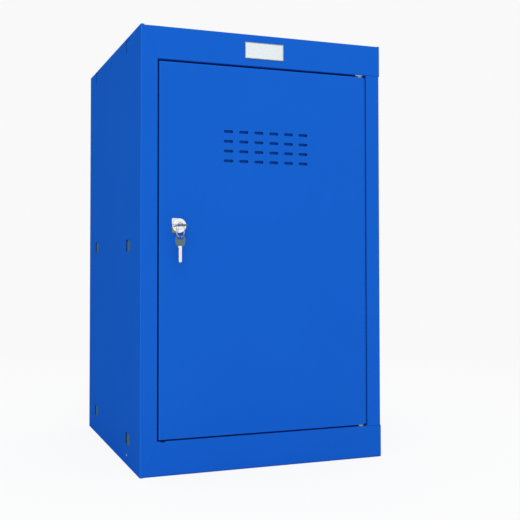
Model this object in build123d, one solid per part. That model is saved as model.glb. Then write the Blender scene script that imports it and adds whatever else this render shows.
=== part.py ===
from build123d import *
import os
from math import cos, radians, sin

# A steel cube locker: folded-sheet body, one flush door on pivot pins, a cam lock with its key,
# a key ring and a spare key. Millimetres, X to the right as seen from the front, Y to the back,
# Z up. The origin is the middle of the underside of the body. Depths are measured from the
# plane of the door frame's front face.

# Body
WIDTH = 400.0
HEIGHT = 668.0
DEPTH = 405.0
SHEET = 1.0
FOLD_RADIUS = 1.0
RAIL_DROP = 1.0
RIGHT_INSET = 1.0
STILE_WIDTH = 26.0
RIGHT_STILE_EDGE = 175.4
TOP_RAIL_HEIGHT = 49.0
BOTTOM_RAIL_HEIGHT = 50.0
MITRE_TIP = 5.0
SEAM = 0.12
STOP_DEPTH = 22.0
STOP_WIDTH = 13.0
RAIL_RETURN = 20.0
RAIL_LIP = 10.0
RAIL_WRAP = 14.0
RAIL_EDGE_RADIUS = 0.8
BACK_FLANGE = 15.0
SIDE_FLANGE = 24.0
FLANGE_START = 30.0
CORNER_RELIEF = 12.0
OVERCUT = 1.0

# Door
GAP_TOP = 3.3
GAP_BOTTOM = 2.5
GAP_LOCK_SIDE = 2.4
GAP_HINGE_SIDE = 5.4
DOOR_THICKNESS = 18.0
DOOR_RETURN = 14.0
DOOR_EDGE_RADIUS = 1.2
EDGE_STRIP_WIDTH = 3.9
EDGE_STRIP_DEPTH = 2.0
EDGE_STRIP_SHEET = 0.8
VENT_COLUMNS = 6
VENT_ROWS = 4
VENT_PITCH_X = 25.0
VENT_PITCH_Z = 15.0
VENT_LENGTH = 15.0
VENT_HEIGHT = 4.3
VENT_RIM = 0.3
VENT_TOP_ROW = 514.4
SHIELD_STANDOFF = 3.8
SHIELD_SHEET = 0.8
SHIELD_FOOT = 12.0
SHIELD_MARGIN = 8.0
STIFFENER_LEFT = 92.0
STIFFENER_FOOT = 12.0
STIFFENER_CROWN = 28.0
STIFFENER_HEIGHT = 12.0
STIFFENER_SHORT = 3.0

# Pivot pins
PIVOT_X = 165.7
PIVOT_DEPTH = 6.5
PIN_RADIUS = 2.5
RUNNING_CLEARANCE = 0.05
PIN_HEAD_RADIUS = 4.2
PIN_HEAD_HEIGHT = 2.0
PIN_ENGAGEMENT = 12.0
PIN_TIP = 0.8
WASHER_RADIUS_UPPER = 4.5
WASHER_RADIUS_LOWER = 5.5
WASHER_PLAY = 0.1
HINGE_PLATE = 1.6
HINGE_PLATE_DEPTH = 16.0
UPPER_PLATE_SPAN = (-9.2, 4.0)
LOWER_PLATE_SPAN = (-20.0, 8.0)
PIVOT_BLOCK_WIDTH = 12.0
PIVOT_BLOCK_DEPTH = 11.0
PIVOT_BLOCK_HEIGHT = 14.0

# Side slots, brackets and shelf
SLOT_LENGTH = 27.0
SLOT_HEIGHT = 18.0
SLOT_DEPTHS = (81.0, 334.0)
SLOT_HEIGHTS = {"floor": 40.5, "shelf": 340.5}
SLOT_TO_TRAY = 9.5
BRACKET_SHEET = 1.6
BRACKET_LEDGE = 18.0
BRACKET_FORWARD = 25.5
BRACKET_BACK = 9.0
BRACKET_DROP = 14.0
BOSS_BACK = 4.0
BOSS_SUNK = 0.5
BOSS_PLAY = 0.4
SHELF_FRONT = 30.0
FLOOR_FRONT = 21.5
TRAY_LIP = 15.0
TRAY_RETURN = 10.0
TRAY_PLAY = 0.6

# Small marks on the body
RIVET_Z = 15.0
RIVET_HEAD = 2.0
RIVET_SHANK = 1.3
RIVET_TAIL = 0.8
RIVET_OFFSETS = (5.0, -2.0)
SLIT_DEPTHS = (95.0, 346.3)
SLIT_FOOT = 645.8
SLIT_TOP = 663.5
SLIT_LENGTH = 24.0
SLIT_WIDTH = 0.6
SLIT_HEAD = 1.2
PEG_HOLE_DEPTH = 209.3
PEG_HOLE_Z = 654.4
PEG_HOLE_RADIUS = 2.2
DRAIN_NOTCH = (-169.0, -162.0)
DRAIN_NOTCH_DEPTH = 6.0
STOP_RELIEF = (-36.0, -16.0)
BUFFER_HEIGHTS = (130.0, 300.0, 540.0)
BUFFER_RADIUS = 4.0
BUFFER_PLAY = 0.2

# Fixing holes
WALL_HOLE_RADIUS = 4.25
WALL_HOLES_X = 260.0
WALL_HOLES_Z = 440.0
WALL_HOLES_CENTRE = 340.0
STACK_HOLE_RADIUS = 4.5
STACK_HOLES = 300.0

# Lock
LOCK_X = -141.4
LOCK_Z = 369.6
HEAD_RADIUS = 10.9
PLATE_THICKNESS = 1.0
HEAD_FRONT = 3.4
BARREL_RADIUS = 9.2
BARREL_DEPTH = 22.3
PLUG_RADIUS = 6.0
CAM_SHEET = 2.5
CAM_REACH = 26.5
NUT_ACROSS_FLATS = 24.0
NUT_THICKNESS = 5.0
HEAD_BEVEL = 0.6
DIMPLE_OFFSET = 8.5
DIMPLE_RADIUS = 0.8
PLUG_SUNK = 0.2
KEYWAY_DEPTH = 16.0
KEYWAY_PLAY = 0.2
TAIL_WIDTH = 7.0
CAM_START = BARREL_DEPTH + 0.4
CAM_HUB_RADIUS = 8.5
CAM_WIDTH = 13.0
CAM_CORNER = 3.0
SCREW_RADIUS = 2.0
SCREW_LENGTH = 7.0
SCREW_HEAD_RADIUS = 4.2
SCREW_HEAD_HEIGHT = 2.4
RECESS_LENGTH = 4.4
RECESS_WIDTH = 0.9
CAM_WASHER_RADIUS = 5.5
CAM_WASHER_SHEET = 1.0
WAFER_LENGTH = 10.4
WAFER_WIDTH = 5.2
WAFER_DEPTHS = (2.0, 4.6, 7.2, 9.8, 12.4)
WAFER_SHEET = 1.0

# Keys and ring
BOW_LENGTH = 15.2
BOW_WIDTH = 14.5
BOW_THICKNESS = 2.7
BOW_STANDOFF = 10.5
BOW_HOLE_LENGTH = 8.8
BOW_HOLE_HEIGHT = 4.0
BOW_HOLE_AT = 11.5
BOW_NECK = 10.0
BOW_TOP = 10.4
BOW_SHOULDERS = (5.5, 11.6)
BOW_CORNER = 1.8
BOW_PANEL = (9.2, 6.4)
BOW_PANEL_AT = 4.9
BOW_PANEL_CORNER = 1.4
BOW_PANEL_SUNK = 0.3
TANG_LENGTH = 5.0
TANG_THICKNESS = 1.4
BLADE_LENGTH = 24.0
BLADE_WIDTH = 4.4
BLADE_THICKNESS = 2.0
BLADE_TIP_RADIUS = 1.6
SHOULDER_WIDTH = 6.0
SHOULDER_LENGTH = 2.8
FLUTE_WIDTH = 1.4
FLUTE_SUNK = 0.45
FLUTE_START = 3.5
CUT_WIDTH = 1.4
CUT_SUNK = 0.25
RING_RADIUS = 10.6
RING_WIRE = 0.6
RING_TURN = 39.2
RING_OFFSET = 6.96
RING_DROP = 7.63
SPARE_TURN = -16.5
SPARE_PLAY = 0.35

# Badge, left blank
BADGE_X = -3.4
BADGE_Z = 642.2
BADGE_WIDTH = 64.5
BADGE_HEIGHT = 25.5
BADGE_PROUD = 1.2
BADGE_BORDER = 1.4
BADGE_CORNER = 0.8
PLATE_WIDTH = BADGE_WIDTH - 2 * BADGE_BORDER
PLATE_HEIGHT = BADGE_HEIGHT - 2 * BADGE_BORDER
PLATE_SUNK = 0.4

# Places worked out from the sizes above
FRONT = -DEPTH / 2
BACK = DEPTH / 2
LEFT = -WIDTH / 2
RIGHT = WIDTH / 2
WALL_RIGHT = RIGHT - RIGHT_INSET
INNER_LEFT = LEFT + SHEET
INNER_RIGHT = WALL_RIGHT - SHEET
TOP = HEIGHT - RAIL_DROP
RAIL_FOOT = RAIL_DROP
OPEN_LEFT = LEFT + STILE_WIDTH
OPEN_RIGHT = RIGHT_STILE_EDGE
OPEN_TOP = TOP - TOP_RAIL_HEIGHT
OPEN_BOTTOM = RAIL_FOOT + BOTTOM_RAIL_HEIGHT
DOOR_LEFT = OPEN_LEFT + GAP_LOCK_SIDE
DOOR_RIGHT = OPEN_RIGHT - GAP_HINGE_SIDE
DOOR_TOP = OPEN_TOP - GAP_TOP
DOOR_BOTTOM = OPEN_BOTTOM + GAP_BOTTOM
BACK_PANEL = BACK - 2 * SHEET
FLANGE_END = BACK_PANEL - 2 * SHEET
PIVOT_Y = FRONT + PIVOT_DEPTH


# Helpers
def block(x0, x1, y0, y1, z0, z1):
    """A box between two corners."""
    centre = Pos((x0 + x1) / 2, (y0 + y1) / 2, (z0 + z1) / 2)
    return centre * Box(x1 - x0, y1 - y0, z1 - z0)


def folded(points, plane, start, length):
    """Sheet bent along a line of mid-plane points, extruded from start by length."""
    section = trace(FilletPolyline(*points, radius=FOLD_RADIUS), SHEET)
    return extrude(plane.offset(start) * section, amount=length)


def upright(x, y, z0, z1, radius):
    """A round bar along Z."""
    return Pos(x, y, (z0 + z1) / 2) * Cylinder(radius, z1 - z0)


def lock_bar(depth0, depth1, radius):
    """A round bar on the lock's axis between two depths."""
    middle = Pos(LOCK_X, FRONT + (depth0 + depth1) / 2, LOCK_Z)
    return middle * Rot(90, 0, 0) * Cylinder(radius, depth1 - depth0)


def on_axis(depth0, depth1, width, height):
    """A square bar on the lock's axis between two depths."""
    x = width / 2
    z = height / 2
    return block(LOCK_X - x, LOCK_X + x, FRONT + depth0, FRONT + depth1, LOCK_Z - z, LOCK_Z + z)


def save(name, shape):
    """Write one named node."""
    export_step(shape, "parts/" + name + ".step")


# Body panels
def mitre_cut(beyond, z_outer, z_opening):
    """What a rail takes from the left stile at one end, from the mitre line inwards."""
    outline = Polyline(
        (LEFT + MITRE_TIP, beyond),
        (LEFT + MITRE_TIP, z_outer),
        (OPEN_LEFT, z_opening),
        (OPEN_RIGHT, z_opening),
        (OPEN_RIGHT, beyond),
        close=True,
    )
    face = Plane.XZ.offset(-FRONT) * make_face(outline)
    return extrude(face, amount=STOP_DEPTH + OVERCUT, both=True)


def side_slots(wall_x):
    """Cutters for the four bracket slots of one side wall."""
    cutters = Part()
    for height in SLOT_HEIGHTS.values():
        for depth in SLOT_DEPTHS:
            y = FRONT + depth
            half = SLOT_LENGTH / 2
            low = height - SLOT_HEIGHT / 2
            reach = SHEET + OVERCUT
            cutters += block(wall_x - reach, wall_x + reach, y - half, y + half, low, low + SLOT_HEIGHT)
    return cutters


def tab_slits(wall_x):
    """Cutters for the two corner slits and the small hole that locate the top panel's flange."""
    x0 = wall_x - SHEET - OVERCUT
    x1 = wall_x + SHEET + OVERCUT
    cutters = Part()
    for depth in SLIT_DEPTHS:
        y = FRONT + depth
        cutters += block(x0, x1, y - SLIT_WIDTH, y, SLIT_FOOT, SLIT_TOP)
        cutters += block(x0, x1, y - SLIT_LENGTH, y, SLIT_TOP - SLIT_HEAD, SLIT_TOP)
    peg_hole = Rot(0, 90, 0) * Cylinder(PEG_HOLE_RADIUS, x1 - x0)
    return cutters + Pos(wall_x, FRONT + PEG_HOLE_DEPTH, PEG_HOLE_Z) * peg_hole


def rivet_places():
    """Depths of the flush rivets that hold the bottom panel's flanges."""
    return [FRONT + depth + offset for depth, offset in zip(SLOT_DEPTHS, RIVET_OFFSETS)]


def flush_rivet(wall_x, outward, y):
    """A countersunk rivet through a side wall and the flange inside it."""
    reach = 2 * SHEET + RIVET_TAIL
    cone_depth = SHEET * 0.7
    shank = Pos(wall_x - outward * reach / 2, y, RIVET_Z) * Rot(0, 90, 0) * Cylinder(RIVET_SHANK, reach)
    cone = Cone(RIVET_SHANK, RIVET_HEAD, cone_depth)
    head = Pos(wall_x - outward * cone_depth / 2, y, RIVET_Z) * Rot(0, 90 * outward, 0) * cone
    tail_x = wall_x - outward * (reach - RIVET_TAIL / 2)
    tail = Pos(tail_x, y, RIVET_Z) * Rot(0, 90, 0) * Cylinder(RIVET_HEAD, RIVET_TAIL)
    return shank + head + tail


def base_rivets():
    """Four rivets, two in each side wall."""
    rivets = []
    for y in rivet_places():
        rivets.append(flush_rivet(LEFT, -1, y))
        rivets.append(flush_rivet(WALL_RIGHT, 1, y))
    return rivets


def left_side_panel():
    """Wall, back flange, mitred left stile, return and door stop from one sheet."""
    half = SHEET / 2
    points = [
        (OPEN_LEFT + STOP_WIDTH, FRONT + STOP_DEPTH - half),
        (OPEN_LEFT - half, FRONT + STOP_DEPTH - half),
        (OPEN_LEFT - half, FRONT + half),
        (LEFT + half, FRONT + half),
        (LEFT + half, BACK - half),
        (LEFT + BACK_FLANGE, BACK - half),
    ]
    panel = folded(points, Plane.XY, 0, HEIGHT)
    panel -= mitre_cut(HEIGHT + OVERCUT, TOP, OPEN_TOP)
    panel -= mitre_cut(-OVERCUT, RAIL_FOOT, OPEN_BOTTOM)
    panel -= side_slots(LEFT)
    panel -= tab_slits(LEFT)
    for rivet in base_rivets():
        panel -= rivet
    return panel


def right_side_panel():
    """Wall, back flange, butted right stile, return and door stop from one sheet."""
    half = SHEET / 2
    points = [
        (OPEN_RIGHT + SHEET - STOP_WIDTH, FRONT + STOP_DEPTH - half),
        (OPEN_RIGHT + half, FRONT + STOP_DEPTH - half),
        (OPEN_RIGHT + half, FRONT + half),
        (WALL_RIGHT - half, FRONT + half),
        (WALL_RIGHT - half, BACK - half),
        (WALL_RIGHT - BACK_FLANGE, BACK - half),
    ]
    panel = folded(points, Plane.XY, 0, HEIGHT)
    for z0, z1 in ((OPEN_TOP - SEAM, HEIGHT + OVERCUT), (-OVERCUT, OPEN_BOTTOM + SEAM)):
        panel -= block(0, INNER_RIGHT, FRONT - OVERCUT, FRONT + STOP_DEPTH + OVERCUT, z0, z1)
        panel -= block(INNER_RIGHT - SHEET, RIGHT, FRONT - OVERCUT, FRONT + 2 * SHEET, z0, z1)
    panel -= side_slots(WALL_RIGHT)
    panel -= tab_slits(WALL_RIGHT)
    for rivet in base_rivets():
        panel -= rivet
    return panel


def rail_left_cut(beyond, z_outer, z_opening):
    """What the left stile takes from a rail's front face, a seam wider than the stile."""
    inside = 2 * z_opening - z_outer
    outline = Polyline(
        (LEFT - OVERCUT, beyond),
        (LEFT + MITRE_TIP + SEAM, beyond),
        (LEFT + MITRE_TIP + SEAM, z_outer),
        (OPEN_LEFT + SEAM, z_opening),
        (OPEN_LEFT + SEAM, inside),
        (LEFT - OVERCUT, inside),
        close=True,
    )
    face = Plane.XZ.offset(-FRONT) * make_face(outline)
    return extrude(face, amount=2 * SHEET, both=True)


def rail_end_cap(z0, z1):
    """The rail's right end: its front face carried on and wrapped round the side panel."""
    face = block(INNER_RIGHT - SEAM, RIGHT, FRONT, FRONT + SHEET, z0, z1)
    wrap = block(WALL_RIGHT, RIGHT, FRONT + SHEET / 2, FRONT + RAIL_WRAP, z0, z1)
    cap = face + wrap
    outer_edge = cap.edges().filter_by(Axis.Z).sort_by(lambda e: e.center().X - e.center().Y)[-1]
    return fillet(outer_edge, RAIL_EDGE_RADIUS)


def stacking_holes(z):
    """Cutters for the four bolts that join one locker to the next."""
    cutters = Part()
    for place in GridLocations(STACK_HOLES, STACK_HOLES, 2, 2):
        cutters += Pos(0, 0, z) * place * Cylinder(STACK_HOLE_RADIUS, 4 * SHEET)
    return cutters


def return_cut(z_edge, away):
    """What the left stile's return takes from a rail's return, on the side away from the opening."""
    z0, z1 = sorted((z_edge - away * OVERCUT, z_edge + away * (RAIL_LIP + SHEET)))
    y1 = FRONT + RAIL_RETURN + 2 * SHEET
    return block(INNER_LEFT - OVERCUT, OPEN_LEFT + SEAM, FRONT + 1.6 * SHEET, y1, z0, z1)


def top_panel():
    """Top sheet with the top rail, its return and the rear and side flanges."""
    half = SHEET / 2
    points = [
        (FRONT + RAIL_RETURN, OPEN_TOP + RAIL_LIP),
        (FRONT + RAIL_RETURN, OPEN_TOP + half),
        (FRONT + half, OPEN_TOP + half),
        (FRONT + half, TOP - half),
        (BACK_PANEL - half, TOP - half),
        (BACK_PANEL - half, TOP - BACK_FLANGE),
    ]
    panel = folded(points, Plane.YZ, INNER_LEFT, INNER_RIGHT - INNER_LEFT)
    panel -= return_cut(OPEN_TOP, 1)
    panel -= rail_left_cut(TOP + OVERCUT, TOP, OPEN_TOP)
    panel += rail_end_cap(OPEN_TOP, TOP)
    flange_end = BACK_PANEL - CORNER_RELIEF
    for x0 in (INNER_LEFT, INNER_RIGHT - SHEET):
        panel += block(x0, x0 + SHEET, FRONT + FLANGE_START, flange_end, TOP - BACK_FLANGE, TOP - half)
    panel -= stacking_holes(TOP)
    panel -= upright(PIVOT_X, PIVOT_Y, OPEN_TOP - SHEET, OPEN_TOP + 2 * SHEET, PIN_RADIUS)
    return panel


def bottom_rail():
    """Folded channel under the door, with a drain notch and a stop relief in its top edge."""
    half = SHEET / 2
    points = [
        (FRONT + RAIL_RETURN, OPEN_BOTTOM - RAIL_LIP),
        (FRONT + RAIL_RETURN, OPEN_BOTTOM - half),
        (FRONT + half, OPEN_BOTTOM - half),
        (FRONT + half, RAIL_FOOT + half),
        (FRONT + RAIL_RETURN, RAIL_FOOT + half),
    ]
    rail = folded(points, Plane.YZ, INNER_LEFT, INNER_RIGHT - INNER_LEFT)
    rail -= return_cut(OPEN_BOTTOM, -1)
    rail -= rail_left_cut(-OVERCUT, RAIL_FOOT, OPEN_BOTTOM)
    rail += rail_end_cap(RAIL_FOOT, OPEN_BOTTOM)
    y0 = FRONT - OVERCUT
    z1 = OPEN_BOTTOM + OVERCUT
    rail -= block(*DRAIN_NOTCH, y0, FRONT + DRAIN_NOTCH_DEPTH, OPEN_BOTTOM - 1.2 * SHEET, z1)
    rail -= block(*STOP_RELIEF, y0, FRONT + 1.5 * SHEET, OPEN_BOTTOM - SHEET / 2, z1)
    rail -= upright(PIVOT_X, PIVOT_Y, OPEN_BOTTOM - 2 * SHEET, z1, PIN_RADIUS)
    return rail


def bottom_panel():
    """Flat sheet that the locker stands on, with upturned side and rear flanges."""
    sheet = block(INNER_LEFT, INNER_RIGHT, FRONT + 2 * SHEET, BACK_PANEL - SHEET, 0, SHEET)
    for x0 in (INNER_LEFT, INNER_RIGHT - SHEET):
        sheet += block(x0, x0 + SHEET, FRONT + FLANGE_START, FLANGE_END, SHEET / 2, SIDE_FLANGE)
    corner = 2 * SHEET
    sheet += block(INNER_LEFT + corner, INNER_RIGHT - corner, BACK_PANEL - SHEET, BACK_PANEL, 0, BACK_FLANGE)
    sheet -= stacking_holes(0)
    for rivet in base_rivets():
        sheet -= rivet
    return sheet


def back_panel():
    """Flat sheet inside the rear flanges, with four wall fixing holes."""
    x0 = INNER_LEFT + FOLD_RADIUS
    x1 = INNER_RIGHT - FOLD_RADIUS
    sheet = block(x0, x1, BACK_PANEL, BACK_PANEL + SHEET, SHEET / 2, TOP)
    for place in GridLocations(WALL_HOLES_X, WALL_HOLES_Z, 2, 2):
        centre = place.position
        hole = Rot(90, 0, 0) * Cylinder(WALL_HOLE_RADIUS, 4 * SHEET)
        sheet -= Pos(centre.X, BACK_PANEL, WALL_HOLES_CENTRE + centre.Y) * hole
    return sheet


# Shelf, floor and their brackets
def tray(z_top, front_depth):
    """A loose shelf or floor: flat sheet with a deep front lip and shallow side flanges."""
    x0 = INNER_LEFT + BRACKET_SHEET + TRAY_PLAY
    x1 = INNER_RIGHT - BRACKET_SHEET - TRAY_PLAY
    y0 = FRONT + front_depth
    y1 = BACK_PANEL - 2 * SHEET - TRAY_PLAY
    half = SHEET / 2
    lip_end = z_top - TRAY_LIP
    points = [
        (y0 + TRAY_RETURN, lip_end + half),
        (y0 + half, lip_end + half),
        (y0 + half, z_top - half),
        (y1 - half, z_top - half),
        (y1 - half, z_top - TRAY_RETURN),
    ]
    return folded(points, Plane.YZ, x0, x1 - x0)


def bracket(wall_x, inward, slot_depth, slot_z):
    """Plated bracket: plate behind the slot, boss in it, and a ledge that carries the tray."""
    y = FRONT + slot_depth
    inner = wall_x + inward * SHEET
    plate_x = sorted((inner, inner + inward * BRACKET_SHEET))
    ledge_x = sorted((inner, inner + inward * BRACKET_LEDGE))
    boss_x = sorted((wall_x + inward * BOSS_SUNK, inner))
    y0 = y - BRACKET_FORWARD
    y1 = y + BRACKET_BACK
    ledge_top = slot_z + SLOT_TO_TRAY - SHEET
    shape = block(*plate_x, y0, y1, slot_z - BRACKET_DROP, ledge_top)
    shape += block(*ledge_x, y0, y1, ledge_top - BRACKET_SHEET, ledge_top)
    half = SLOT_HEIGHT / 2 - BOSS_PLAY
    boss_front = y - SLOT_LENGTH / 2 + BOSS_PLAY
    shape += block(*boss_x, boss_front, y + BOSS_BACK, slot_z - half, min(slot_z + half, ledge_top))
    return shape


# Hinge
def hinge_plate_upper():
    """Plated plate under the top rail's return, seen in the gap above the door."""
    left, right = UPPER_PLATE_SPAN
    z0 = OPEN_TOP - HINGE_PLATE
    plate = block(PIVOT_X + left, PIVOT_X + right, FRONT + SHEET, FRONT + HINGE_PLATE_DEPTH, z0, OPEN_TOP)
    return plate - upright(PIVOT_X, PIVOT_Y, z0 - OVERCUT, OPEN_TOP + OVERCUT, PIN_RADIUS)


def hinge_plate_lower():
    """Plated plate under the bottom rail's return."""
    left, right = LOWER_PLATE_SPAN
    z1 = OPEN_BOTTOM - SHEET
    z0 = z1 - HINGE_PLATE
    y0 = FRONT + 2 * SHEET
    plate = block(PIVOT_X + left, PIVOT_X + right, y0, FRONT + HINGE_PLATE_DEPTH, z0, z1)
    return plate - upright(PIVOT_X, PIVOT_Y, z0 - OVERCUT, z1 + OVERCUT, PIN_RADIUS)


def hinge_washer(z0, z1, radius):
    """A thrust washer round a pivot pin."""
    washer = upright(PIVOT_X, PIVOT_Y, z0, z1, radius)
    washer -= upright(PIVOT_X, PIVOT_Y, z0 - OVERCUT, z1 + OVERCUT, PIN_RADIUS)
    return washer


def hinge_pin_lower():
    """Pin riveted into the bottom rail, standing up into the door."""
    head_top = OPEN_BOTTOM - SHEET - HINGE_PLATE
    head_foot = head_top - PIN_HEAD_HEIGHT
    pin = upright(PIVOT_X, PIVOT_Y, head_foot, DOOR_BOTTOM + PIN_ENGAGEMENT, PIN_RADIUS)
    pin = chamfer(pin.edges().group_by(Axis.Z)[-1], PIN_TIP)
    return pin + upright(PIVOT_X, PIVOT_Y, head_foot, head_top, PIN_HEAD_RADIUS)


def hinge_pin_upper():
    """Drop-in pin with a head above the top rail's return."""
    head_foot = OPEN_TOP + SHEET
    head_top = head_foot + PIN_HEAD_HEIGHT
    pin = upright(PIVOT_X, PIVOT_Y, DOOR_TOP - PIN_ENGAGEMENT, head_top, PIN_RADIUS)
    pin = chamfer(pin.edges().group_by(Axis.Z)[0], PIN_TIP)
    return pin + upright(PIVOT_X, PIVOT_Y, head_foot, head_top, PIN_HEAD_RADIUS)


def pivot_block(z0):
    """Bored block in a corner of the door pan that turns on a pin."""
    x1 = DOOR_RIGHT - SHEET
    y0 = FRONT + SHEET
    z1 = z0 + PIVOT_BLOCK_HEIGHT
    shape = block(x1 - PIVOT_BLOCK_WIDTH, x1, y0, y0 + PIVOT_BLOCK_DEPTH, z0, z1)
    bore_radius = PIN_RADIUS + RUNNING_CLEARANCE
    return shape - upright(PIVOT_X, PIVOT_Y, z0 - OVERCUT, z1 + OVERCUT, bore_radius)


def door_buffers():
    """Three rubber buffers on the stop flange of the left stile."""
    buffers = []
    y1 = FRONT + STOP_DEPTH - SHEET
    y0 = FRONT + DOOR_THICKNESS + BUFFER_PLAY
    x = OPEN_LEFT + STOP_WIDTH / 2
    for z in BUFFER_HEIGHTS:
        pad = Pos(x, (y0 + y1) / 2, z) * Rot(90, 0, 0) * Cylinder(BUFFER_RADIUS, y1 - y0)
        buffers.append(fillet(pad.edges().group_by(Axis.Y)[0], 0.8))
    return buffers


# Door
def vent_slots():
    """Cutters for the block of ventilation slots."""
    middle = VENT_TOP_ROW - VENT_PITCH_Z * (VENT_ROWS - 1) / 2
    plane = Plane.XZ.offset(-FRONT) * Pos(0, middle)
    cutters = []
    for place in GridLocations(VENT_PITCH_X, VENT_PITCH_Z, VENT_COLUMNS, VENT_ROWS):
        slot = plane * place * SlotOverall(VENT_LENGTH, VENT_HEIGHT)
        cutters.append(extrude(slot, amount=SHEET + OVERCUT, both=True))
    return cutters


def vent_rims(shell):
    """The front edges of the slots, which the punch rolls in."""
    half = VENT_PITCH_X * VENT_COLUMNS / 2
    low = VENT_TOP_ROW - VENT_PITCH_Z * VENT_ROWS
    front_edges = shell.edges().group_by(Axis.Y)[0]
    across = front_edges.filter_by_position(Axis.X, -half, half)
    return across.filter_by_position(Axis.Z, low, VENT_TOP_ROW + VENT_PITCH_Z)


def door_panel():
    """Folded pan with rounded front edges, vent slots, lock hole and pin holes."""
    shell = block(DOOR_LEFT, DOOR_RIGHT, FRONT, FRONT + DOOR_THICKNESS, DOOR_BOTTOM, DOOR_TOP)
    shell = fillet(shell.faces().sort_by(Axis.Y)[0].edges(), DOOR_EDGE_RADIUS)
    inset = SHEET
    cavity = block(
        DOOR_LEFT + inset, DOOR_RIGHT - inset,
        FRONT + SHEET, FRONT + DOOR_THICKNESS - SHEET,
        DOOR_BOTTOM + inset, DOOR_TOP - inset,
    )
    inset = SHEET + DOOR_RETURN
    mouth = block(
        DOOR_LEFT + inset, DOOR_RIGHT - inset,
        FRONT + SHEET, FRONT + DOOR_THICKNESS + OVERCUT,
        DOOR_BOTTOM + inset, DOOR_TOP - inset,
    )
    shell -= cavity + mouth
    for slot in vent_slots():
        shell -= slot
    shell = fillet(vent_rims(shell), VENT_RIM)
    shell -= lock_bar(-OVERCUT, SHEET + OVERCUT, BARREL_RADIUS)
    for z in (DOOR_BOTTOM, DOOR_TOP):
        shell -= upright(PIVOT_X, PIVOT_Y, z - 2 * SHEET, z + 2 * SHEET, PIN_RADIUS + SHEET / 2)
    return shell


def vent_shield():
    """Shallow hat of thin sheet behind the slots: air passes out of its open top and foot."""
    half = SHIELD_SHEET / 2
    foot_y = FRONT + SHEET + half
    crown_y = foot_y + SHIELD_STANDOFF
    crown = (VENT_PITCH_X * VENT_COLUMNS) / 2
    points = [
        (-crown - SHIELD_FOOT, foot_y),
        (-crown, foot_y),
        (-crown, crown_y),
        (crown, crown_y),
        (crown, foot_y),
        (crown + SHIELD_FOOT, foot_y),
    ]
    low = VENT_TOP_ROW - VENT_PITCH_Z * (VENT_ROWS - 1) - SHIELD_MARGIN
    section = trace(FilletPolyline(*points, radius=FOLD_RADIUS), SHIELD_SHEET)
    return extrude(Plane.XY.offset(low) * section, amount=VENT_TOP_ROW + SHIELD_MARGIN - low)


def door_edge_strip():
    """Narrow strip on the door's hinged edge that covers most of the gap and turns with the door."""
    y0 = FRONT + EDGE_STRIP_DEPTH
    return block(
        DOOR_RIGHT, DOOR_RIGHT + EDGE_STRIP_WIDTH, y0, y0 + EDGE_STRIP_SHEET,
        DOOR_BOTTOM + DOOR_EDGE_RADIUS, DOOR_TOP - DOOR_EDGE_RADIUS,
    )


def door_stiffener():
    """Hat channel welded up the inside of the door."""
    y0 = FRONT + 1.5 * SHEET
    y1 = y0 + STIFFENER_HEIGHT
    crown_left = STIFFENER_LEFT + STIFFENER_FOOT
    crown_right = crown_left + STIFFENER_CROWN
    points = [
        (STIFFENER_LEFT, y0),
        (crown_left, y0),
        (crown_left, y1),
        (crown_right, y1),
        (crown_right, y0),
        (crown_right + STIFFENER_FOOT, y0),
    ]
    z0 = DOOR_BOTTOM + STIFFENER_SHORT
    return folded(points, Plane.XY, z0, DOOR_TOP - STIFFENER_SHORT - z0)


# Lock
def lock_escutcheon():
    """Thin plate under the lock head, square on its left side and round on its right."""
    outline = Circle(HEAD_RADIUS) + Pos(-HEAD_RADIUS / 2, 0) * Rectangle(HEAD_RADIUS, 2 * HEAD_RADIUS)
    plate = Plane.XZ.offset(-FRONT) * Pos(LOCK_X, LOCK_Z) * outline
    hole = lock_bar(-PLATE_THICKNESS - OVERCUT, OVERCUT, BARREL_RADIUS)
    return extrude(plate, amount=PLATE_THICKNESS) - hole


def lock_housing():
    """Round head and threaded barrel with the plug's bore and an index dimple."""
    head = lock_bar(-HEAD_FRONT, -PLATE_THICKNESS, HEAD_RADIUS)
    head = chamfer(head.edges().group_by(Axis.Y)[0], HEAD_BEVEL)
    body = head + lock_bar(-PLATE_THICKNESS, BARREL_DEPTH, BARREL_RADIUS)
    bore_radius = PLUG_RADIUS + RUNNING_CLEARANCE
    body -= lock_bar(-HEAD_FRONT - OVERCUT, BARREL_DEPTH + OVERCUT, bore_radius)
    dimple = Pos(LOCK_X - DIMPLE_OFFSET, FRONT - HEAD_FRONT, LOCK_Z) * Sphere(DIMPLE_RADIUS)
    return body - dimple


def lock_nut():
    """Hexagon nut that clamps the lock to the door skin."""
    hexagon = RegularPolygon(NUT_ACROSS_FLATS / 2, 6, major_radius=False)
    face = Plane.XZ.offset(-FRONT - SHEET) * Pos(LOCK_X, LOCK_Z) * hexagon
    hole = lock_bar(0, SHEET + NUT_THICKNESS + OVERCUT, BARREL_RADIUS)
    return extrude(face, amount=-NUT_THICKNESS) - hole


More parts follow.
